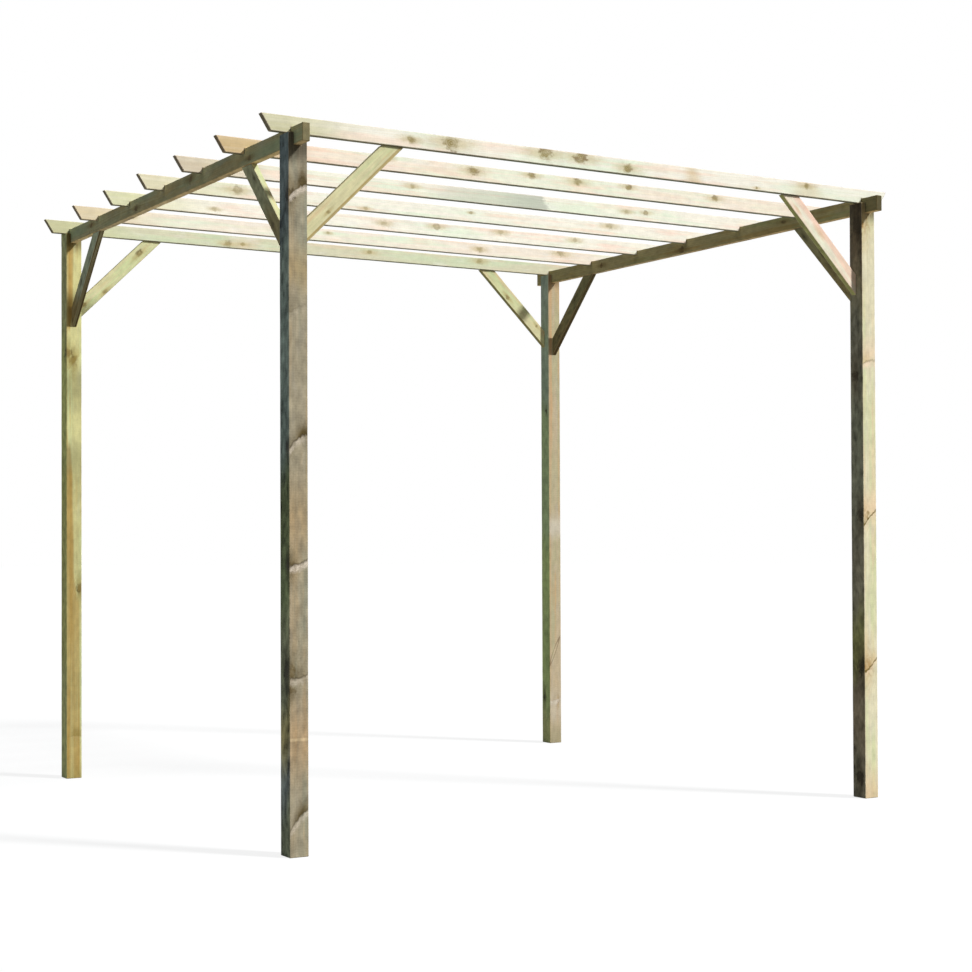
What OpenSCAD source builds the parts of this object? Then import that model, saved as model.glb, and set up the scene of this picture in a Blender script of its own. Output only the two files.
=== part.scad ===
// Open garden pergola of treated softwood: square corner posts, a beam along each side,
// rafters across the top and a pair of knee braces at every post.
// Millimetres, +Z up, +X along the rafters, origin on the ground under the middle of the frame.

/* [Frame] */
// Width over the posts, outer face to outer face
frame_w = 2624; // [1800:1:3600]
// Depth over the posts, outer face to outer face
frame_d = 2322; // [1800:1:3600]

/* [Posts] */
// Side of the square posts
post_side = 70; // [60:1:120]
// Height of the posts, ground to top
post_h = 2400; // [1800:10:3000]

/* [Beams] */
// Thickness of the beams
beam_t = 28; // [20:1:40]
// Height of the beams
beam_h = 62; // [50:1:120]
// Length of beam beyond the posts at each end
beam_past = 64; // [20:1:300]

/* [Rafters] */
// Thickness of the rafters
rafter_t = 24; // [16:1:50]
// Height of the rafters
rafter_h = 57; // [45:1:120]
// Length of rafter beyond the posts at each end, along the top edge
rafter_past = 88; // [60:1:400]
// How much the slanting end cut takes off the bottom edge
rafter_end_cut = 36; // [0:1:50]
// Depth of the notches that let the rafters down over the beams
let_in = 20; // [5:1:30]

/* [Knee braces] */
// Thickness of the braces
brace_t = 24; // [16:1:50]
// Width of the braces, square across the grain
brace_w = 60; // [40:1:100]
// How far down the post the braces reach, along their long edge
brace_drop = 372; // [200:1:600]
// How far out under the end rafters the braces reach, along their long edge
across_reach = 388; // [200:1:600]
// How far out under the beams the braces reach, along their long edge
along_reach = 360; // [200:1:600]
// How far the braces under the rafters sit behind the middle of the post
across_set_back = 10; // [0:1:15]

/* [Fit] */
// Clearance at each side of a beam in its post slot and in the rafter notches
side_fit = 0.3; // [0.1:0.1:1]

/* [Hidden] */
SIDES = ["left", "right"];
ENDS = ["front", "rear"];

// Rafters, counted from the front, with the first and last centred over the posts
rafter_count = 7;

// Post centres, the same at both sides and at both ends
post_x = (frame_w - post_side) / 2;
post_y = (frame_d - post_side) / 2;

// Underside of the beams, and the depth of the slot that takes them in the post tops
beam_z = post_h + let_in - beam_h;
slot_depth = post_h - beam_z;
slot_w = beam_t + 2 * side_fit;

// Overall lengths of the long timbers
beam_len = frame_d + 2 * beam_past;
rafter_len = frame_w + 2 * rafter_past;
rafter_pitch = 2 * post_y / (rafter_count - 1);

// How far a cut runs past the faces that it opens
cut_past = 5;

// +1 or -1 for an index of 1 or 0: right and rear are positive
function sign_of(index) = 2 * index - 1;

// One post, forked at the top so that the beam drops in between two cheeks
module post(end, side) {
    color("#b3a583")
    translate([sign_of(side) * post_x, sign_of(end) * post_y, 0])
    difference() {
        translate([-post_side / 2, -post_side / 2, 0])
        cube([post_side, post_side, post_h]);
        translate([-slot_w / 2, -post_side / 2 - cut_past, beam_z])
        cube([slot_w, post_side + 2 * cut_past, slot_depth + cut_past]);
    }
}

// One beam, seated on the floors of its two post slots
module beam(side) {
    color("#8f8258")
    translate([sign_of(side) * post_x - beam_t / 2, -beam_len / 2, beam_z])
    cube([beam_t, beam_len, beam_h]);
}

// Side view of a rafter, with its slanting ends, the bottom edge on the X axis
module rafter_outline() {
    polygon([
        [-rafter_len / 2 + rafter_end_cut, 0],
        [rafter_len / 2 - rafter_end_cut, 0],
        [rafter_len / 2, rafter_h],
        [-rafter_len / 2, rafter_h]
    ]);
}

// One rafter, notched over both beams
module rafter(index) {
    color("#e3dcc0")
    translate([0, -post_y + (index - 1) * rafter_pitch, post_h])
    difference() {
        rotate([90, 0, 0])
        linear_extrude(height = rafter_t, center = true)
        rafter_outline();
        for (side = [0, 1])
            translate([sign_of(side) * post_x - slot_w / 2, -rafter_t / 2 - cut_past, -cut_past])
            cube([slot_w, rafter_t + 2 * cut_past, let_in + cut_past]);
    }
}

// Share of a brace's reach and drop that its short edge keeps, nearer the corner by the brace's width
function short_share(reach) = 1 - brace_w * norm([reach, brace_drop]) / (reach * brace_drop);

// A brace in its own corner, with the post below the origin and the upper timber along +X
module brace_stick(reach) {
    rotate([90, 0, 0])
    linear_extrude(height = brace_t, center = true)
    polygon([
        [0, -brace_drop * short_share(reach)],
        [0, -brace_drop],
        [reach, 0],
        [reach * short_share(reach), 0]
    ]);
}

// Brace from a post to the end rafter above it
module brace_across(end, side) {
    color("#c9bf93")
    translate([sign_of(side) * (post_x - post_side / 2), sign_of(end) * post_y + across_set_back, post_h])
    rotate([0, 0, 180 * side])
    brace_stick(across_reach);
}

// Brace from a post to the beam that it carries
module brace_along(end, side) {
    color("#9c8a66")
    translate([sign_of(side) * post_x, sign_of(end) * (post_y - post_side / 2), beam_z])
    rotate([0, 0, -sign_of(end) * 90])
    brace_stick(along_reach);
}

for (end = [0, 1], side = [0, 1])
    post(end, side);
for (side = [0, 1])
    beam(side);
for (index = [1 : rafter_count])
    rafter(index);
for (end = [0, 1], side = [0, 1])
    brace_across(end, side);
for (end = [0, 1], side = [0, 1])
    brace_along(end, side);
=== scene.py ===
# %% [markdown]
# A garden pergola is a frame of planed, pressure-treated softwood: four posts, a beam along each side,
# seven rafters across the top and a pair of knee braces at every post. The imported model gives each
# timber's exact size and place. This lesson keeps those and adds what a saw, a planer and the weather
# leave behind: eased edges, end grain, growth rings, knots, green treatment stain and grey bloom.

# %% Load the frame
import math
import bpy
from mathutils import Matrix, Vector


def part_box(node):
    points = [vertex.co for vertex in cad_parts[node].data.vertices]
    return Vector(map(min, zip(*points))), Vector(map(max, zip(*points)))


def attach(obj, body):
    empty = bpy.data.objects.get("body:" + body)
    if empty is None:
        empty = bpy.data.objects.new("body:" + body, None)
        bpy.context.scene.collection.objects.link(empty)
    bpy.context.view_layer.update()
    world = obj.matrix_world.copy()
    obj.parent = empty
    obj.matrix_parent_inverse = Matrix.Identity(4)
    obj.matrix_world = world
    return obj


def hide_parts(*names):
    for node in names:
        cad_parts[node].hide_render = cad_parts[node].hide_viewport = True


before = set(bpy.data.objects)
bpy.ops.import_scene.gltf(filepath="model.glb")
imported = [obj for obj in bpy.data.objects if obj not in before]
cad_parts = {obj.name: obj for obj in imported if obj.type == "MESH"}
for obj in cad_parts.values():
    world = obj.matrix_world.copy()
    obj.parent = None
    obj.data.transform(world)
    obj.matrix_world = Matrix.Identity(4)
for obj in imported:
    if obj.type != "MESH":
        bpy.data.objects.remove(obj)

from types import SimpleNamespace

import bmesh
import bpy
from mathutils import Euler, Matrix, Vector, noise

scene = bpy.context.scene
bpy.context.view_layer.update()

# %% [markdown]
# The photograph was taken from the front left at chest height with a mildly long lens, and then cropped
# off its middle. A camera aimed at the middle of the frame would make the posts lean, so this one stands
# low and almost level instead, and a small lens shift stands for the crop.

# %% Camera
PHOTO_SIDE = 972
SENSOR_MM = 36
FOCAL_PIXELS = 1773.9
LENS_CENTRE = (428.1, 510.7)
CAMERA_AT = (-3.852, -6.447, 1.0555)
CAMERA_YAW = 30.162
CAMERA_PITCH = 0.832
CAMERA_ROLL = 0.191

lens = bpy.data.cameras.new("camera")
lens.sensor_width = SENSOR_MM
lens.lens = FOCAL_PIXELS / PHOTO_SIDE * SENSOR_MM
middle = (PHOTO_SIDE - 1) / 2
lens.shift_x = (middle - LENS_CENTRE[0]) / PHOTO_SIDE
lens.shift_y = (LENS_CENTRE[1] - middle) / PHOTO_SIDE
camera = bpy.data.objects.new("camera", lens)
aim = Euler((math.radians(90 + CAMERA_PITCH), 0, math.radians(-CAMERA_YAW))).to_matrix()
turn = aim @ Matrix.Rotation(math.radians(-CAMERA_ROLL), 3, "Z")
camera.matrix_world = Matrix.Translation(CAMERA_AT) @ turn.to_4x4()
scene.collection.objects.link(camera)
scene.camera = camera
print("lens in mm:", round(lens.lens, 1))

# %% [markdown]
# Nodes could be added and linked one by one, but shader maths is easier to read as Python than as a list
# of nodes. This class wraps one socket: an expression on values adds Math nodes, one on vectors adds
# Vector Math nodes, and its method node adds any other.

# %% Sockets as numbers
class Flow:
    def __init__(self, tree, socket=None):
        self.tree = tree
        self.socket = socket

    def node(self, kind, settings=None, sockets=None, out=0):
        made = self.tree.nodes.new("ShaderNode" + kind)
        for name, value in (settings or {}).items():
            setattr(made, name, value)
        for name, value in (sockets or {}).items():
            if isinstance(value, Flow):
                self.tree.links.new(value.socket, made.inputs[name])
            else:
                made.inputs[name].default_value = value
        return Flow(self.tree, made.outputs[out] if made.outputs else None)

    def maths(self, operation, *values):
        is_vector = any(isinstance(v, tuple) or getattr(v, "is_vector", False) for v in values)
        kind = "VectorMath" if is_vector else "Math"
        if is_vector:
            values = [v if isinstance(v, (Flow, tuple)) else (v, v, v) for v in values]
        return self.node(kind, {"operation": operation}, dict(enumerate(values)))

    @property
    def is_vector(self):
        return self.socket.type in ("VECTOR", "RGBA")

    def __add__(self, other):
        return self.maths("ADD", self, other)

    def __sub__(self, other):
        return self.maths("SUBTRACT", self, other)

    def __mul__(self, other):
        return self.maths("MULTIPLY", self, other)

    def __truediv__(self, other):
        return self.maths("DIVIDE", self, other)

    def __rsub__(self, other):
        return self.maths("SUBTRACT", other, self)

    def __abs__(self):
        return self.maths("ABSOLUTE", self)

    __radd__ = __add__
    __rmul__ = __mul__

    def length(self):
        return self.node("VectorMath", {"operation": "LENGTH"}, {0: self}, out="Value")

    def least(self, other):
        return self.maths("MINIMUM", self, other)

    def most(self, other):
        return self.maths("MAXIMUM", self, other)

    def fraction(self):
        return self.maths("FRACT", self)

    def ease(self, low, high):
        """0 where the value is low, 1 where it is high, and smooth between. Low may be the larger."""
        return self.node(
            "MapRange",
            {"interpolation_type": "SMOOTHSTEP"},
            {"Value": self, "From Min": low, "From Max": high},
        )

    def tint(self, first, second):
        """The first colour where this value is 0 and the second where it is 1."""
        return self.node("Mix", {"data_type": "RGBA"}, {0: self, 6: first, 7: second}, out=2)

    def blend(self, colour, share):
        """This colour, with a share of another one mixed in."""
        return share.tint(self, colour)


def paint(code):
    """A screen colour such as "#c8b89b" as the linear colour that a socket takes."""
    parts = [int(code[i : i + 2], 16) / 255 for i in (1, 3, 5)]
    return tuple(((c + 0.055) / 1.055) ** 2.4 if c > 0.04 else c / 12.92 for c in parts) + (1,)


print("paint test:", [round(c, 3) for c in paint("#c8b89b")])

# %% [markdown]
# Sawn softwood shows its growth rings as long arches on the faces and as arcs on the ends. A flat pattern
# on each face wouldn't meet at the edges, but a solid one does, if every point knows where it lies in its
# own timber. So each timber stores (across, up, along) in a mesh attribute, with the along part counted
# from its lower, left or front end. Growth rings are then circles around a pith that lies off the timber's
# middle, with a spacing that changes from year to year and lines that swing round every knot.

# %% Growth rings
RING_PITCH = 0.0046
RING_SWAY = 0.026
RING_JITTER = 0.008
RING_SWING = 0.012
PITH_LEAN = 0.012


def noise_of(grain, scale, seed, detail):
    """Smooth noise between 0 and 1 that is stretched differently across and along the grain."""
    place = grain * scale + (seed, seed * 2.1, seed * 3.7)
    return grain.node("TexNoise", None, {"Vector": place, "Scale": 1.0, "Detail": detail})


def distance_from_pith(grain, pith, seed):
    """Distance from the pith, with a slow sway along the timber."""
    slow = grain * (5.0, 5.0, 0.9) + (seed, seed * 1.7, seed * 2.3)
    sway = grain.node("TexNoise", None, {"Vector": slow, "Scale": 1.0, "Detail": 2.0}, out="Color")
    bent = grain + (sway - 0.5) * RING_SWAY
    return ((bent - (pith[0], pith[1], 0.0)) * (1.0, 1.0, PITH_LEAN)).length()


def ring_bands(grain, radius, halo, seed):
    """How much latewood a point has: a slow rise through each ring and a sudden drop after it."""
    uneven = noise_of(grain, (55.0, 55.0, 0.8), seed + 1.9, 2.0) - 0.5
    part = ((radius + uneven * RING_JITTER - halo * RING_SWING) / RING_PITCH).fraction()
    return part.ease(0.2, 0.86) * part.ease(1.0, 0.9)


print("ring pitch in mm:", RING_PITCH * 1000)

# %% [markdown]
# A knot is a branch that the trunk grew over. On a board it is a brown spot with a ragged rim, and the
# wood around it is stained along the grain. On a post that was sawn from a thin tree, a whole ring of
# branches crosses the face as a slanted arc, dark above and pale below. Both are measured as distances,
# because one distance gives the heart, the rim and the stain alike.

# %% Knots and branch rings
post_low, post_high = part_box("post_front_left")
POST_HALF = (post_high.x - post_low.x) / 2
KNOT_LENGTHEN = 0.8
KNOT_DEPTH = 0.6
STAIN_LENGTHEN = 0.26
BRANCH_LEAN = 0.35
DARK_ABOVE = 0.065
PALE_BELOW = 0.032
LINE_HALF = 0.007
LINES_PER_METRE = 130.0


def nearest_knot(grain, knots, lengthen):
    """Distance to the nearest knot in knot radii: below 1 is inside one.

    A knot is on a post's left or front face, or it goes right through a board.
    """
    nearest = None
    for along, face, offset, radius in knots:
        wide = 1 / radius
        deep = KNOT_DEPTH / radius
        if face == "left":
            scale = (deep, wide, lengthen * wide)
            centre = (-POST_HALF, offset, along)
        elif face == "front":
            scale = (wide, deep, lengthen * wide)
            centre = (offset, -POST_HALF, along)
        else:
            scale = (0, wide, lengthen * wide)
            centre = (0, offset, along)
        shift = tuple(-place * size for place, size in zip(centre, scale))
        distance = grain.maths("MULTIPLY_ADD", grain, scale, shift).length()
        nearest = distance if nearest is None else nearest.least(distance)
    return nearest


def larger(so_far, new):
    """The larger of two values, or the new one where there is none so far."""
    return new if so_far is None else so_far.most(new)


def branch_rings(across, up, along, rings):
    """Shares of dark wood, pale wood and dark line where rings of branches cross the timber."""
    dark = pale = line = None
    for height, slope, bow, darkness, paleness, lines, middle in rings:
        rise = across * slope + across * across * bow + (up + POST_HALF) * BRANCH_LEAN
        above = along - rise - height
        near = abs(across - middle).ease(0.05, 0.004)
        new_dark = above.ease(DARK_ABOVE, 0.0) * above.ease(-0.003, 0.003) * near * darkness
        growth = (above * LINES_PER_METRE).fraction().ease(0.05, 0.45) * 0.45 + 0.55
        new_pale = above.ease(-PALE_BELOW, -0.014) * above.ease(0.002, -0.003) * growth * paleness
        new_line = abs(above).ease(LINE_HALF, 0.001) * lines
        dark = larger(dark, new_dark)
        pale = larger(pale, new_pale)
        line = larger(line, new_line)
    front = up.ease(0.0, -0.033) * 0.8 + 0.2
    return dark * front, pale * front, line * front


def loop_lines(across, up, along, loops):
    """Thin outlines of long loops on the front face, where the cut just grazes the wood round a knot."""
    shown = None
    for place, offset, half_length, half_width, tilt in loops:
        beyond = along - place
        aside = (across - offset - beyond * tilt) / half_width
        stretch = beyond / half_length
        edge = abs(aside * aside + stretch * stretch - 1).ease(0.62, 0.15)
        shown = larger(shown, edge)
    return shown * up.ease(-0.028, -0.033)


print("a knot's stain is", round(1 / STAIN_LENGTHEN, 1), "times as long as it is wide")

# %% [markdown]
# No two points of a board are alike: fibres, streaks, blotches and bloom each vary at a scale of their
# own, slowly along the grain and fast across it. Every finish below could add its own noise, but they all
# need the same kinds, so these are made once for a timber and kept together with its grain directions.
# A layer is given by its scales (across, up, along), its shift of the timber's seed and its detail.

# %% What a point of the wood knows
LAYERS = {
    "ragged": ((95.0, 95.0, 60.0), 4.4, 3.0),
    "fibre": ((420.0, 420.0, 9.0), 0.0, 4.0),
    "streak": ((60.0, 60.0, 0.9), 2.2, 3.0),
    "broad": ((10.0, 10.0, 1.7), 3.1, 3.0),
    "mottle": ((16.0, 16.0, 4.0), 7.7, 4.0),
    "bloom": ((34.0, 34.0, 9.0), 11.3, 5.0),
    "blotch": ((48.0, 48.0, 26.0), 17.2, 5.0),
    "speck": ((240.0, 240.0, 120.0), 13.9, 2.0),
}


def wood_point(start, seed):
    """A point's place in its timber, whether it is on an end or an arris, and every layer's value there."""
    grain = start.node("Attribute", {"attribute_name": "grain"}, out="Vector")
    across, up, along = [grain.node("SeparateXYZ", None, {0: grain}, out=i) for i in range(3)]
    point = SimpleNamespace(grain=grain, across=across, up=up, along=along)
    point.cut = start.node("Attribute", {"attribute_name": "end_cut"}, out="Fac")
    point.arris = start.node("Attribute", {"attribute_name": "arris"}, out="Fac")
    for name, (scale, shift, detail) in LAYERS.items():
        setattr(point, name, noise_of(grain, scale, seed + shift, detail))
    point.ragged = point.ragged - 0.5
    return point


print("layers of variation:", ", ".join(LAYERS))

# %% [markdown]
# Pressure treatment leaves a green copper tint that varies along a board. Sapwood stays cream, heartwood
# turns pinkish tan, and rain and dust add a grey bloom. Some boards have a brown stripe along an edge, a
# weathered end or stained stretches; the strip under the rear braces that run along the beams, the dark tops
# of the posts and the front end of the right beam are painted shade. One mix of all colours would be hard to
# steer, so they are blended one over another in the order in which wood gets them.

# %% Board tints, stained patches and painted shade
def stepped(along, pairs):
    """A value that moves smoothly from step to step along a timber, from pairs of a place and a value."""
    value = pairs[0][1]
    for (begin, old), (end, new) in zip(pairs, pairs[1:]):
        value = along.ease(begin, end) * (new - old) + value
    return value


def board_wood(point, board, late):
    """The wood's own colours, and over them its stripe, its weathered end, its stained patches and its
    painted shade.
    """
    look = board["look"]
    streak = point.streak
    mottle = point.mottle
    wood = (late * board["rings"]).tint(paint(look["sapwood"]), paint(look["latewood"]))
    wood = wood.blend(paint(look["green"]), (point.broad * 0.6 + streak * 0.4).ease(0.46, 0.6) * 0.85)
    wood = wood.blend(paint(look["warm"]), (mottle * 0.5 + streak * 0.5).ease(0.49, 0.63) * 0.7)
    wood = wood.blend(paint(look["grey"]), point.bloom.ease(0.5, 0.78) * 0.45)
    if board["stripe"]:
        place = point.up if board["stripe on"] == "up" else point.across
        edge = stepped(point.along, board["stripe"]) - place
        striped = (edge + (streak - 0.5) * 0.03).ease(-0.005, 0.006)
        depth = late * 0.3 + streak.ease(0.3, 0.62) * 0.5 + 0.35
        wood = wood.blend(paint(look["stripe"]), striped * depth)
    if board["near end"]:
        worn = (point.along + mottle * 0.4).ease(0.72, 0.28) * (streak * 0.9 + 0.4)
        wood = wood.blend(paint(board["near end"]), worn)
    uneven = streak * 0.5 + point.fibre * 0.7 + point.blotch * 0.4
    for begin, begin_fade, end, end_fade, code, share in board["stains_and_painted_shade"]:
        place = point.along + point.ragged * begin_fade * 0.4
        patch = place.ease(begin - begin_fade, begin + begin_fade)
        patch = patch * (place + point.up * 0.6).ease(end + end_fade, end - end_fade)
        wood = wood.blend(paint(code), patch * uneven * share)
    return wood


print("order of the tints: sapwood, green, warm, grey, stripe, near end, stains")

# %% [markdown]
# One side of every timber is turned from the sun: the left of the posts and of the braces that run along the
# beams, and the underside of the rest. Its tints, greener or browner and changing along the timber, are
# partly the wood's own and partly painted shade, and its knots are painted near black. A material of its own
# on those faces would end in a hard line, so a mask that starts at the arris tells how much of the shaded
# tint a point takes.

# %% The shaded side: own tints and painted shade
SIDE_FADE = 0.08
MASK_BEGIN = 0.0028
MASK_END = 0.0007
# Painted shade: knots and stains on the shaded side are near black.
SHADED_STAIN = "#3c392f"
SHADED_KNOT = "#26241d"


def shaded_share(point, board):
    """1 on the shaded side, whose tints are partly painted shade, and 0 on the others."""
    facing = {"up": point.up, "down": point.up * -1.0, "across": point.across * -1.0}[board["side on"]]
    return facing.ease(board["half"] - MASK_BEGIN, board["half"] - MASK_END)


def side_colours(place, colours):
    """Colours that follow one another along a timber, from pairs of a place and a colour."""
    shown = paint(colours[0][1])
    for change, code in colours[1:]:
        share = place.ease(change - SIDE_FADE, change + SIDE_FADE)
        shown = share.tint(shown, paint(code))
    return shown


print("a side's tint changes over", 2 * SIDE_FADE, "m")

# %% [markdown]
# A knot's heart is ragged and broken, its rim shows only in places, and its stain fades along the grain.
# They could be spots of one colour each, but a real knot is never even, so each share is worn away by one
# of the layers above.

# %% Knots in the wood
KNOT_YEARS = 3.5
BRANCH_WAVER = 0.022


def knot_marks(point, board):
    """The distance to the nearest knot, and the shares of its heart, its rim and its stain."""
    distance = nearest_knot(point.grain, board["knots"], KNOT_LENGTHEN)
    worn = distance + point.ragged * 1.7
    heart = worn.ease(1.35, 0.3) * point.blotch.ease(0.16, 0.52) * board["knot share"]
    rim = worn.ease(0.3, 0.8) * worn.ease(1.4, 0.9) * point.bloom.ease(0.46, 0.62) * board["knot share"]
    stain = (nearest_knot(point.grain, board["knots"], STAIN_LENGTHEN) + point.ragged * 0.9).ease(1.7, 0.3)
    return SimpleNamespace(distance=distance, heart=heart, rim=rim, stain=stain)


def knotted(wood, point, board, knot, shaded):
    """The wood with its knots, its rings of branches and its loops."""
    look = board["look"]
    # Painted shade: on the shaded side knots, rims and stains turn near black, and the pale wood below
    # branch rings is left out.
    stain_tint = (shaded * 0.9).tint(paint(look["stain"]), paint(SHADED_STAIN))
    knot_tint = (shaded * 0.95).tint(paint(look["knot"]), paint(SHADED_KNOT))
    rim_tint = (shaded * 0.95).tint(paint(look["rim"]), paint(SHADED_KNOT))
    wood = wood.blend(stain_tint, knot.stain * 0.6)
    years = ((knot.distance + point.ragged * 0.3) * KNOT_YEARS).fraction()
    wood = wood.blend(knot_tint, knot.heart * (years.ease(0.1, 0.9) * 0.35 + 0.65))
    wood = wood.blend(rim_tint, knot.rim * 0.6)
    if board["branch rings"]:
        place = point.along + point.ragged * BRANCH_WAVER
        dark, pale, line = branch_rings(point.across, point.up, place, board["branch rings"])
        wood = wood.blend(paint(look["pale"]), pale * point.blotch.ease(0.25, 0.58) * (1 - shaded))
        wood = wood.blend(stain_tint, dark * (point.mottle * 0.6 + 0.75))
        wood = wood.blend(paint(look["rim"]), line * point.blotch.ease(0.2, 0.5) * (1 - shaded * 0.9))
    if board["loops"]:
        loops = loop_lines(point.across, point.up, point.along, board["loops"])
        wood = wood.blend(paint(look["rim"]), loops * 0.6)
    return wood


print("years that show in a knot:", KNOT_YEARS)

# %% [markdown]
# The finish joins all that in one material. The planer leaves faint ripples across the grain, end grain is
# darker, and handling warms the arrises. Dry planed softwood has hardly any gloss: with more of it, a white
# surrounding would lay a veil over the shaded sides. Fine relief is left to bump, because it is far smaller
# than anything in the mesh.

# %% Treated softwood
GLOSS = 0.15
RIPPLES = {"Scale": 34.0, "Distortion": 6.0, "Detail": 2.0, "Detail Scale": 1.6}
BUMP_STRENGTH = 0.5
BUMP_DEPTH = 0.0008


def treated_softwood(name, board, seed):
    """The material of one timber, from its board's colours and marks."""
    material = bpy.data.materials.new(name)
    material.use_nodes = True
    tree = material.node_tree
    tree.nodes.clear()
    start = Flow(tree)
    look = board["look"]
    point = wood_point(start, seed)
    fibre = point.fibre
    knot = knot_marks(point, board)
    radius = distance_from_pith(point.grain, board["pith"], seed)
    late = ring_bands(point.grain, radius, knot.distance.ease(3.4, 0.8), seed) * (point.mottle * 0.9 + 0.15)
    shaded = shaded_share(point, board)

    wood = board_wood(point, board, late)
    # The shaded side's tints, partly the wood's own and partly painted shade.
    side = side_colours(point.along + (point.broad - 0.5) * 0.4, board["side"])
    wood = wood.blend(side, shaded * 0.9)
    wood = knotted(wood, point, board, knot, shaded)
    wood = wood.blend(paint(look["end"]), point.cut * (0.9 - late * 0.3))
    wood = wood.blend(paint(look["warm"]), point.arris * point.bloom * 0.5)

    bands = {"wave_type": "BANDS", "bands_direction": "Z"}
    ripples = start.node("TexWave", bands, {"Vector": point.grain, **RIPPLES})
    shade = 1.03 + (0.5 - fibre) * 0.22 + (point.speck - 0.5) * 0.16
    shade = shade + (point.blotch - 0.5) * board["blotch"] + (ripples - 0.5) * board["ripple"]
    shade = shade + shaded * (point.mottle + point.blotch - 1.0) * board["side blotch"]
    multiply = {"data_type": "RGBA", "blend_type": "MULTIPLY"}
    wood = wood.node("Mix", multiply, {0: 1.0, 6: wood, 7: shade}, out=2)

    height = late * 0.35 + fibre * 0.5 + ripples * board["ripple"] * 4 + knot.heart * 0.4 + point.cut * fibre
    bump = start.node("Bump", None, {"Strength": BUMP_STRENGTH, "Distance": BUMP_DEPTH, "Height": height})
    rough = 0.88 - late * 0.1 - knot.heart * 0.16 + point.bloom * 0.08
    surface = start.node(
        "BsdfPrincipled",
        None,
        {"Base Color": wood, "Roughness": rough, "Normal": bump, "Specular IOR Level": GLOSS},
    )
    start.node("OutputMaterial", None, {"Surface": surface})
    return material


print("gloss of planed softwood:", GLOSS)

# %% [markdown]
# Every timber of the real frame came from another board, so each has a tint of its own. The posts differ
# most: one is grey with planer ripples, one cream, one yellow-green with brown stripes and one beige.
# One tint with a random shift would be shorter, but then no timber would look like its own board.

# %% Tints
LOOKS = {
    "grey post": {
        "sapwood": "#a0967f", "latewood": "#857a61", "green": "#929380", "warm": "#ab9574",
        "grey": "#9c9587", "knot": "#5d4d2c", "rim": "#382e19", "stain": "#5c4e2e",
        "pale": "#d8cbbb", "end": "#8f8263",
    },
    "cream post": {
        "sapwood": "#e1dabb", "latewood": "#cbc093", "green": "#d2d6a8", "warm": "#e4ceaa",
        "grey": "#d6d2bf", "knot": "#a8834f", "rim": "#6f5c24", "stain": "#c9a66f",
        "pale": "#eed6bb", "end": "#a89871",
    },
    "striped post": {
        "sapwood": "#d6d39a", "latewood": "#b9a967", "green": "#cedaa2", "warm": "#ccb97b",
        "grey": "#bdb893", "knot": "#7f6935", "rim": "#55451f", "stain": "#94803f",
        "pale": "#d6d3a2", "end": "#8f7a4b", "stripe": "#b59350",
    },
    "beige post": {
        "sapwood": "#bfaf92", "latewood": "#a8926d", "green": "#b1ac89", "warm": "#c7a57c",
        "grey": "#b9b1a3", "knot": "#85663f", "rim": "#5d4327", "stain": "#a58b60",
        "pale": "#d3cbbd", "end": "#8d7d5c", "stripe": "#c4a27b",
    },
    "beam": {
        "sapwood": "#b2af8b", "latewood": "#8f875f", "green": "#a1b08f", "warm": "#ab9a70",
        "grey": "#abaf9f", "knot": "#564325", "rim": "#352a17", "stain": "#75633b",
        "end": "#75694a",
    },
    "rafter": {
        "sapwood": "#f8f4e7", "latewood": "#ebdfc2", "green": "#e5f0d8", "warm": "#fbdfce",
        "grey": "#efede6", "knot": "#8b7a43", "rim": "#6c5223", "stain": "#c6b382",
        # the dark end grain is partly painted shade, for the rafters' left ends that face away from the sun
        "end": "#696151",
    },
    "brace": {
        "sapwood": "#d6d0a6", "latewood": "#bcb180", "green": "#c4cf9d", "warm": "#d9bb92",
        "grey": "#c6c1a9", "knot": "#87774a", "rim": "#5a4a27", "stain": "#b3a068",
        "end": "#8f8160", "stripe": "#a68f5a",
    },
    "pink brace": {
        "sapwood": "#f0e3d0", "latewood": "#e6cdb2", "green": "#e6e9cf", "warm": "#f6d3bf",
        "grey": "#e6ded2", "knot": "#a5834f", "rim": "#6d5732", "stain": "#d9b38d",
        "end": "#a39372", "stripe": "#f3cab4",
    },
}
# painted shade: a dark brown strip along the brace's underside
LOOKS["brown-edged brace"] = {**LOOKS["brace"], "stripe": "#4b3a1a"}
LOOKS["brown beam"] = {
    **LOOKS["beam"],
    "sapwood": "#a99f76", "green": "#959b6f", "warm": "#9f8857", "grey": "#9d987e", "end": "#514931",
}
LOOKS["pinker rafter"] = {
    **LOOKS["rafter"],
    "sapwood": "#f5eadb", "latewood": "#e8d6b8", "warm": "#f8d8c4",
}
LOOKS["rear rafter"] = {
    **LOOKS["rafter"],
    "sapwood": "#d9d6bb", "latewood": "#c8bf98", "green": "#cfdab8", "warm": "#e3cfb4",
}
print("tints:", ", ".join(LOOKS))

# %% [markdown]
# A planed timber never has a knife edge: the planer eases each arris by a couple of millimetres, and
# handling leaves it a little uneven. A bevel modifier would round the edges too, but here the script has
# to know which faces are new, to wear only those. So the blank is the frame's own solid, welded, with its
# outer edges rounded, then cut into short lengths so that the arris can wander.

# %% Shape one timber
WELD = 0.00002
FLAT_ANGLE = 0.01
ARRIS = 0.0024
ARRIS_WANDER = 0.0009
WANDER_SCALE = 17.0
STATION = 0.045


def blank_of(node):
    """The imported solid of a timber, welded, with no edges inside its flat faces."""
    blank = bmesh.new()
    blank.from_mesh(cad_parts[node].data)
    bmesh.ops.remove_doubles(blank, verts=blank.verts, dist=WELD)
    bmesh.ops.dissolve_limit(blank, angle_limit=FLAT_ANGLE, verts=blank.verts, edges=blank.edges)
    return blank


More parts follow.
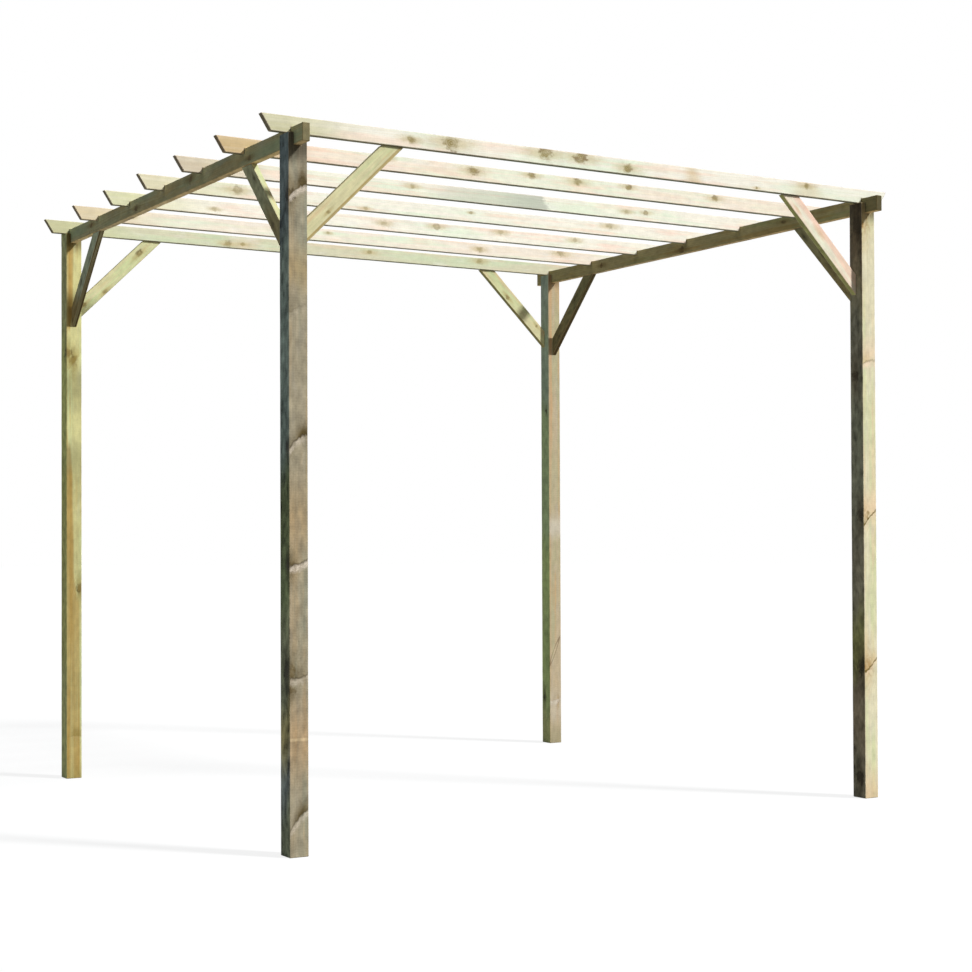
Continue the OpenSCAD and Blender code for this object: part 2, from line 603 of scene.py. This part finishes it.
def directions_of(blank):
    """Along the longest edge, pointing up, right or to the rear, then across and up through the section."""
    longest = max(blank.edges, key=lambda edge: edge.calc_length())
    along = (longest.verts[1].co - longest.verts[0].co).normalized()
    strongest = along.z if abs(along.z) > 0.5 else along.x + along.y
    if strongest <= 0:
        along = -along
    across = Vector((0, 1, 0)) if abs(along.x) > abs(along.y) else Vector((1, 0, 0))
    return along, across, along.cross(across)


def reach(verts, direction):
    """The lowest and the highest place of some vertices in one direction."""
    places = [vert.co.dot(direction) for vert in verts]
    return min(places), max(places)


def saw_into_lengths(blank, along):
    """Rings of vertices along the timber, about one station apart."""
    low, high = reach(blank.verts, along)
    count = max(2, round((high - low) / STATION))
    for step in range(1, count):
        place = low + (high - low) * step / count
        geometry = blank.verts[:] + blank.edges[:] + blank.faces[:]
        bmesh.ops.bisect_plane(blank, geom=geometry, plane_co=along * place, plane_no=along, dist=WELD)


def ease_edges(blank, along, centre):
    """Rounds the outer edges, marks the new faces, and lets them wander inwards along the timber."""
    arris_tag = blank.faces.layers.float.new("arris")
    outer = [edge for edge in blank.edges if edge.is_convex]
    eased = bmesh.ops.bevel(blank, geom=outer, offset=ARRIS, segments=2, profile=0.5, affect="EDGES")
    for face in eased["faces"]:
        face[arris_tag] = 1.0
    saw_into_lengths(blank, along)
    for vert in blank.verts:
        if any(face[arris_tag] > 0 for face in vert.link_faces):
            inward = centre - vert.co
            inward -= along * inward.dot(along)
            wander = 0.5 + 0.5 * noise.noise(vert.co * WANDER_SCALE)
            vert.co += inward.normalized() * ARRIS_WANDER * max(0.0, wander)


print("arris in mm:", ARRIS * 1000)

# %% [markdown]
# The wood's pattern needs each point's place in its own timber and the faces that are sawn ends. Texture
# coordinates would have to be unwrapped, face by face, so both are stored as mesh attributes instead. The
# finished timber rides on the frame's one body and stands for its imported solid.

# %% Store the grain and place one timber
END_FACING = 0.3


def store_grain(mesh, along, across, up, middle_across):
    """Stores each point's place in its timber, and marks the faces that are sawn ends."""
    start = reach(mesh.vertices, along)[0]
    middle_up = sum(reach(mesh.vertices, up)) / 2
    grain = mesh.attributes.new("grain", "FLOAT_VECTOR", "POINT")
    for vert in mesh.vertices:
        aside = vert.co.dot(across) - middle_across
        grain.data[vert.index].vector = (aside, vert.co.dot(up) - middle_up, vert.co.dot(along) - start)
    cut = mesh.attributes.new("end_cut", "FLOAT", "FACE")
    for face in mesh.polygons:
        cut.data[face.index].value = 1.0 if abs(face.normal.dot(along)) > END_FACING else 0.0


def timber(node):
    """The dressed timber of a node, and half its size towards each side that may take the shaded tints."""
    blank = blank_of(node)
    along, across, up = directions_of(blank)
    halves = {}
    for side, direction in (("across", across), ("up", up), ("down", up)):
        low, high = reach(blank.verts, direction)
        halves[side] = (high - low) / 2
    low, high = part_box(node)
    centre = (low + high) / 2
    ease_edges(blank, along, centre)
    mesh = bpy.data.meshes.new(node + "_timber")
    blank.to_mesh(mesh)
    blank.free()
    store_grain(mesh, along, across, up, centre.dot(across))
    piece = bpy.data.objects.new(node + "_timber", mesh)
    scene.collection.objects.link(piece)
    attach(piece, "root")
    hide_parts(node)
    return piece, halves


print("a face is a sawn end if it leans more than", END_FACING, "towards the grain")

# %% [markdown]
# Each post is described by what its front and left faces show, in metres from the foot. Knots are (along,
# face, off the middle, radius). Branch rings are (height, slope, bow, dark, pale, line, where the dark is
# deepest). Loops are (along, off the middle, half length, half width, tilt). Stained patches and painted
# shade are (begin, its fade, end, its fade, colour, share); the dark one at each post's top is painted shade
# in the fork under the beam. A stripe gives the edge of the brown wood at several heights, and side gives
# the tints of the shaded side, partly the wood's own and partly painted shade. Noise could place such marks,
# but these are where the real boards have them. What a board doesn't say comes from a plain board.

# %% The four posts
PLAIN = {
    "rings": 0.6, "near end": None, "stains_and_painted_shade": [], "stripe": None, "stripe on": "across", "side on": "across",
    "branch rings": [], "loops": [], "ripple": 0.02, "side blotch": 1.0, "knot share": 1.0,
}

POSTS = {
    "post_front_left": {
        "look": LOOKS["grey post"], "pith": (0.03, 0.045), "rings": 0.35, "ripple": 0.08, "blotch": 1.1,
        "side blotch": 1.9,
        "knots": [
            (2.24, "front", 0.016, 0.011), (2.19, "left", -0.030, 0.016), (1.35, "left", -0.024, 0.012),
            (0.96, "left", -0.026, 0.016), (0.61, "left", -0.018, 0.024), (0.55, "left", -0.034, 0.012),
        ],
        "branch rings": [
            (2.215, 0.66, -9.0, 0.95, 0.75, 0.30, 0.020),
            (1.815, 0.55, 0.0, 0.30, 0.05, 0.15, -0.030),
            (1.384, 0.65, -11.4, 1.00, 0.50, 0.65, 0.018),
            (0.968, 0.30, 3.0, 0.30, 0.85, 0.60, -0.030),
            (0.592, 0.22, 5.0, 0.40, 0.35, 0.50, 0.000),
            (0.130, 1.04, -6.0, 0.95, 0.40, 0.45, 0.010),
        ],
        "stains_and_painted_shade": [
            (0.28, 0.10, 0.46, 0.10, "#b8956a", 0.6),
            (0.383, 0.003, 0.371, 0.003, "#d3bc94", 0.75),
            (1.00, 0.14, 1.20, 0.10, "#af9062", 0.55),
            (1.89, 0.07, 1.98, 0.07, "#b0945f", 0.6),
            # painted shade: the post's top is darkened in the fork under the beam
            (2.31, 0.04, 2.70, 0.05, "#463f33", 1.0),
        ],
        "side": [
            (0.0, "#949e86"), (0.16, "#8e9b9e"), (0.32, "#b0aa7b"), (0.50, "#92997f"), (0.80, "#798a65"),
            (1.28, "#869a96"), (2.05, "#6e7f86"),
        ],
    },
    "post_front_right": {
        "look": LOOKS["cream post"], "pith": (-0.03, 0.05), "rings": 0.5, "ripple": 0.03, "blotch": 0.55,
        "side blotch": 1.6,
        "knots": [
            (2.31, "left", -0.010, 0.030), (1.70, "left", 0.008, 0.018), (1.14, "left", -0.018, 0.021),
            (0.53, "left", -0.020, 0.028), (0.08, "left", -0.005, 0.020),
        ],
        "branch rings": [
            (1.760, 0.20, -5.0, 0.45, 0.75, 0.45, -0.020),
            (1.132, 0.95, -5.0, 0.20, 0.35, 1.00, -0.010),
            (0.530, 0.85, 5.0, 0.45, 0.40, 0.95, 0.000),
        ],
        "stains_and_painted_shade": [
            (-0.30, 0.02, 0.07, 0.08, "#d9b991", 0.7),
            (1.14, 0.03, 1.20, 0.06, "#ecd0ae", 0.8),
            (1.76, 0.03, 1.82, 0.05, "#edd3b6", 0.7),
            # painted shade: the post's top is darkened in the fork under the beam
            (2.33, 0.03, 2.70, 0.05, "#4d4530", 1.0),
        ],
        # painted shade: the near-black tint at the top of this left side
        "side": [
            (0.0, "#8f8c7a"), (0.18, "#8f816f"), (0.50, "#95965e"), (0.75, "#878475"), (1.05, "#878c7c"),
            (1.60, "#848376"), (1.95, "#817d68"), (2.12, "#48433a"),
        ],
    },
    "post_rear_left": {
        "look": LOOKS["striped post"], "pith": (-0.045, -0.040), "rings": 0.9, "ripple": 0.03,
        "blotch": 0.6,
        "stripe": [
            (0.0, 0.024), (0.50, 0.028), (0.74, 0.022), (0.92, -0.001), (1.30, -0.005), (1.56, -0.034),
            (1.92, -0.036), (2.08, 0.000),
        ],
        "knots": [
            (0.835, "front", 0.026, 0.015), (1.84, "front", -0.004, 0.017), (1.87, "front", -0.028, 0.016),
        ],
        "branch rings": [
            (1.83, 1.30, 0.0, 0.50, 0.10, 0.0, 0.000),
            (0.185, 0.0, 0.0, 0.55, 0.0, 0.10, 0.010),
        ],
        "stains_and_painted_shade": [
            (-0.30, 0.02, 0.02, 0.06, "#8d8a52", 0.5),
            (1.36, 0.05, 1.45, 0.06, "#a9a677", 0.6),
            # painted shade: the post's top is darkened in the fork under the beam
            (2.33, 0.03, 2.70, 0.05, "#4a4026", 0.9),
        ],
        "side": [(0.0, "#c3cb93"), (0.50, "#c0c684"), (1.20, "#cad38a"), (1.90, "#b4bb8c")],
    },
    "post_rear_right": {
        "look": LOOKS["beige post"], "pith": (-0.050, -0.035), "rings": 0.4, "ripple": 0.08, "blotch": 0.50,
        "side blotch": 0.5,
        "stripe": [(0.0, -0.030), (0.5, -0.022), (2.4, -0.016)],
        "knots": [
            (0.235, "left", 0.014, 0.014), (1.70, "left", -0.012, 0.008), (0.21, "front", 0.016, 0.008),
        ],
        "branch rings": [(0.222, 0.25, 0.0, 0.20, 0.65, 0.12, 0.000)],
        "loops": [(0.465, -0.006, 0.068, 0.008, 0.42)],
        "stains_and_painted_shade": [
            (-0.30, 0.02, 0.06, 0.07, "#969071", 0.8),
            (1.06, 0.04, 1.13, 0.05, "#cfc8ba", 0.8),
            (0.12, 0.04, 0.24, 0.04, "#c4bcaa", 0.6),
            # painted shade: the post's top is darkened in the fork under the beam
            (2.34, 0.03, 2.70, 0.05, "#6b5a42", 0.8),
        ],
        "side": [
            (0.0, "#c6cd92"), (0.15, "#bfd894"), (1.10, "#b7d3a0"), (1.70, "#aec7b1"), (2.15, "#a3b9ad"),
        ],
    },
}
print("posts described:", len(POSTS))

# %% [markdown]
# The seven rafters are pale boards with knots of their own. Their left ends are the most weathered, tan
# and olive, and the third one carries a grey stained stretch. They share one description in a loop, and
# short lists give what differs: knots (along, off the middle, radius), tint, near end and knot strength.

# %% The rafters
RAFTER_KNOTS = [
    [(0.57, 0.000, 0.013), (0.73, 0.005, 0.025), (1.127, 0.013, 0.023), (1.28, 0.012, 0.022),
     (1.493, -0.006, 0.016), (2.114, -0.020, 0.005), (2.371, 0.014, 0.011)],
    [(0.15, 0.004, 0.007), (0.682, 0.016, 0.009), (1.052, 0.008, 0.016), (1.314, 0.018, 0.012),
     (1.53, 0.012, 0.014), (1.776, 0.016, 0.011), (2.213, 0.012, 0.012)],
    [(0.30, 0.010, 0.009), (1.00, 0.010, 0.010), (2.044, 0.002, 0.010), (2.145, 0.006, 0.009)],
    [(0.417, 0.002, 0.017), (0.99, -0.018, 0.008), (2.228, 0.014, 0.014), (1.50, 0.010, 0.006)],
    [(0.48, -0.006, 0.009), (1.282, 0.004, 0.012), (1.551, 0.012, 0.013), (1.89, 0.016, 0.013),
     (2.30, 0.012, 0.012)],
    [(0.26, 0.000, 0.007), (1.20, 0.010, 0.007), (2.01, 0.000, 0.013), (2.478, 0.016, 0.016)],
    [(0.868, -0.010, 0.013), (0.944, -0.008, 0.009), (1.615, 0.008, 0.012), (2.243, 0.012, 0.014)],
]
PITH_TURN = 2.4
NEAR_ENDS = ["#cfcba6", "#cfb482", "#d3c5ac", "#e2dab8", "#dadaae", "#dfcfab", "#cdc99e"]
KNOT_SHARES = [1.0, 0.95, 0.6, 0.55, 0.45, 0.65, 0.7]
RAFTER_TINTS = ["rafter", "pinker rafter", "rafter", "rafter", "rafter", "pinker rafter", "rear rafter"]
RAFTERS = {}
for number, knots in enumerate(RAFTER_KNOTS):
    RAFTERS["rafter_" + str(number + 1)] = {
        "look": LOOKS[RAFTER_TINTS[number]],
        "pith": (0.03, 0.055 * math.sin(PITH_TURN * number + 0.7)),
        "rings": 0.45,
        "blotch": 0.3,
        "near end": NEAR_ENDS[number],
        "knot share": KNOT_SHARES[number],
        # the dark olive undersides are mostly painted shade
        "side": [(0.0, "#6a6a4d"), (1.0, "#667056")],
        "side on": "down",
        "knots": [(along, "through", offset, radius) for along, offset, radius in knots],
    }
RAFTERS["rafter_1"]["stains_and_painted_shade"] = [
    (1.77, 0.03, 1.83, 0.03, "#d6bf96", 0.8),
    (2.30, 0.06, 2.44, 0.05, "#dbc39e", 0.6),
]
RAFTERS["rafter_3"]["stains_and_painted_shade"] = [
    (1.12, 0.12, 1.63, 0.015, "#b9b8a8", 0.55),
    (1.46, 0.12, 1.63, 0.015, "#a3aba0", 0.50),
]
print("rafter knots:", sum(len(knots) for knots in RAFTER_KNOTS))

# %% [markdown]
# The two beams are darker and greener, and the braces short offcuts. Of the braces that run across, the
# right front one came from a pink heartwood board, and the left front one keeps a brown strip along its
# lower side. The others differ so little that a loop can describe them. The rear braces that run along the
# beams get a dark brown strip underneath, and the right beam a darker front end: both are painted shade.

# %% Beams and braces
BEAMS = {
    "beam_left": {"look": LOOKS["beam"], "pith": (0.04, 0.035), "knots": [
        (0.42, "through", 0.010, 0.010), (0.95, "through", -0.010, 0.014), (1.52, "through", 0.008, 0.011),
        (2.05, "through", -0.006, 0.012)]},
    "beam_right": {"look": LOOKS["brown beam"], "pith": (0.04, -0.045), "knots": [
        (0.55, "through", -0.008, 0.010), (1.25, "through", 0.012, 0.013), (1.88, "through", 0.000, 0.010)]},
}
for beam in BEAMS.values():
    beam.update({"rings": 0.8, "blotch": 0.7, "side on": "up"})
    beam["side"] = [(0.0, "#d8bf90"), (1.2, "#dcc79c")]
# painted shade: the right beam is darkened at its front end
BEAMS["beam_right"]["stains_and_painted_shade"] = [(-0.30, 0.02, 0.12, 0.05, "#615d40", 0.85)]

BRACE_KNOTS = [
    [(0.16, "through", 0.012, 0.009), (0.40, "through", -0.010, 0.007)],
    [(0.30, "through", -0.006, 0.010), (0.44, "through", 0.014, 0.006)],
    [(0.22, "through", 0.004, 0.008), (0.36, "through", -0.016, 0.006)],
    [(0.11, "through", -0.012, 0.007), (0.33, "through", 0.010, 0.010)],
]
ALONG_SIDES = {
    "front_left": [(0.0, "#8f8763"), (0.25, "#a7ab8c")],
    "front_right": [(0.0, "#8a8059"), (0.25, "#8d8a68")],
    "rear_left": [(0.0, "#85764c"), (0.15, "#bac7ae")],
    "rear_right": [(0.0, "#756c4a"), (0.25, "#7a7553")],
}
BRACES = {}
for number, node in enumerate(name for name in sorted(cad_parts) if name.startswith("brace")):
    brace = {"look": LOOKS["brace"], "pith": (0.035, 0.05 * math.sin(PITH_TURN * number)), "blotch": 0.5}
    brace["knots"] = BRACE_KNOTS[number % len(BRACE_KNOTS)]
    if "_along_" in node:
        brace.update({"side": ALONG_SIDES[node.split("_", 2)[2]], "knot share": 0.4})
    else:
        lower = "down" if node.endswith("left") else "up"
        brace.update({"side": [(0.0, "#a6a06a"), (0.3, "#9b9a66")], "side on": lower})
    BRACES[node] = brace
BRACES["brace_across_front_left"].update(
    {"stripe": [(0.0, -0.018), (0.5, -0.013)], "stripe on": "up", "rings": 0.25}
)
BRACES["brace_across_front_left"]["knots"] = [(0.153, "through", -0.006, 0.006)]
BRACES["brace_across_rear_left"]["knots"] = [
    (0.42, "through", 0.000, 0.013), (0.06, "through", 0.000, 0.009), (0.175, "through", -0.020, 0.010),
]
# painted shade: the rear along braces are dark brown underneath
for side in ("left", "right"):
    BRACES["brace_along_rear_" + side].update(
        {"look": LOOKS["brown-edged brace"], "stripe": [(0.0, -0.020), (0.5, -0.020)], "stripe on": "up"}
    )
BRACES["brace_across_front_right"].update(
    {
        "look": LOOKS["pink brace"], "knot share": 0.0, "side": [(0.0, "#b4b974"), (0.3, "#a4ab68")],
        "stripe": [(0.0, 0.012), (0.3, -0.004), (0.5, 0.002)], "stripe on": "up",
    }
)
print("beams and braces described:", len(BEAMS) + len(BRACES))

# %% [markdown]
# Now the frame is dressed, timber by timber. Each gets a seed of its own, so that no two boards show the
# same noise.

# %% Dress the frame
FIRST_SEED = 1.0
SEED_STEP = 1.37

BOARDS = {**POSTS, **BEAMS, **RAFTERS, **BRACES}
made = []
for number, node in enumerate(sorted(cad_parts)):
    kind = node.split("_")[0]
    piece, halves = timber(node)
    board = {**PLAIN, **BOARDS[node]}
    board["half"] = halves[board["side on"]]
    seed = FIRST_SEED + SEED_STEP * number
    piece.data.materials.append(treated_softwood(node + "_wood", board, seed))
    kind + "_timber"
    made.append(piece)
print("timbers dressed:", len(made))

# %% [markdown]
# The light is a soft sun from high on the front right, as in the photograph. A weak sky and the light
# that the floor throws back fill the shaded faces, and a level lamp without shadows lifts the rear ones.
# Large area lamps would be softer, but a sun lights every timber alike, however far off it stands.

# %% Lamps
SUN_TRAVEL = (-0.85, 1.0, -1.0)
SUN_STRENGTH = 3.82
SUN_SPREAD = 7.0
FILL_TRAVEL = (-0.2, -1.0, 0.0)
FILL_STRENGTH = 1.3

scene.view_settings.view_transform = "Standard"

sun = bpy.data.lights.new("sun", "SUN")
sun.energy = SUN_STRENGTH
sun.angle = math.radians(SUN_SPREAD)
fill = bpy.data.lights.new("fill", "SUN")
fill.energy = FILL_STRENGTH
fill.use_shadow = False
for light, travel in ((sun, SUN_TRAVEL), (fill, FILL_TRAVEL)):
    lamp = bpy.data.objects.new(light.name, light)
    lamp.rotation_euler = Vector(travel).to_track_quat("-Z", "Y").to_euler()
    scene.collection.objects.link(lamp)
print("sun from the front right, strength", SUN_STRENGTH)

# %% [markdown]
# Behind the frame there is only white. A sky that bright would flatten all shading, so the camera sees
# white, in a mirror or through glass too, while the light that bounces meets a weak bluish sky.

# %% Sky
WHITE = (1.0, 1.0, 1.0, 1.0)
SKY = (0.86, 0.94, 1.0, 1.0)
SKY_STRENGTH = 0.18
BACKGROUND = 1.0


def seen_directly(start):
    """1 for rays that the camera sees, in a mirror or through glass too, and 0 for light that bounces."""
    seen = start.node("LightPath", out="Is Camera Ray")
    mirrored = start.node("LightPath", out="Is Glossy Ray")
    through = start.node("LightPath", out="Is Transmission Ray")
    return seen.most(mirrored).most(through)


world = bpy.data.worlds.new("sky")
world.use_nodes = True
world.node_tree.nodes.clear()
start = Flow(world.node_tree)
sky = start.node("Background", None, {"Color": SKY, "Strength": SKY_STRENGTH})
backdrop = start.node("Background", None, {"Color": WHITE, "Strength": BACKGROUND})
both = start.node("MixShader", None, {0: seen_directly(start), 1: sky, 2: backdrop})
start.node("OutputWorld", None, {"Surface": both})
scene.world = world
print("sky strength:", SKY_STRENGTH)

# %% [markdown]
# The floor is pale, and to the camera it is mostly its own white, so that it runs into the background and
# still keeps the frame's shadow. To the light it is a dull tan, because a white floor would throw too much
# light up under the rafters.

# %% Floor
DULL_TINT = (0.36, 0.34, 0.29, 1.0)
FLOOR_TINT = (0.86, 0.86, 0.86, 1.0)
FLOOR_GLOW = 0.8
FLOOR_WHITE = 1.065
FLOOR_RADIUS = 60.0
FLOOR_SIDES = 96

disc = bmesh.new()
bmesh.ops.create_circle(disc, cap_ends=True, segments=FLOOR_SIDES, radius=FLOOR_RADIUS)
floor_mesh = bpy.data.meshes.new("floor")
disc.to_mesh(floor_mesh)
disc.free()
floor = bpy.data.objects.new("floor", floor_mesh)
scene.collection.objects.link(floor)
pale = bpy.data.materials.new("pale_floor")
pale.use_nodes = True
pale.node_tree.nodes.clear()
start = Flow(pale.node_tree)
dull = start.node("BsdfDiffuse", None, {"Color": DULL_TINT})
bright = start.node("BsdfDiffuse", None, {"Color": FLOOR_TINT})
glow = start.node("Emission", None, {"Color": WHITE, "Strength": FLOOR_WHITE})
lit = start.node("MixShader", None, {0: FLOOR_GLOW, 1: bright, 2: glow})
both = start.node("MixShader", None, {0: seen_directly(start), 1: dull, 2: lit})
start.node("OutputMaterial", None, {"Surface": both})
floor_mesh.materials.append(pale)
print("floor radius in m:", FLOOR_RADIUS)
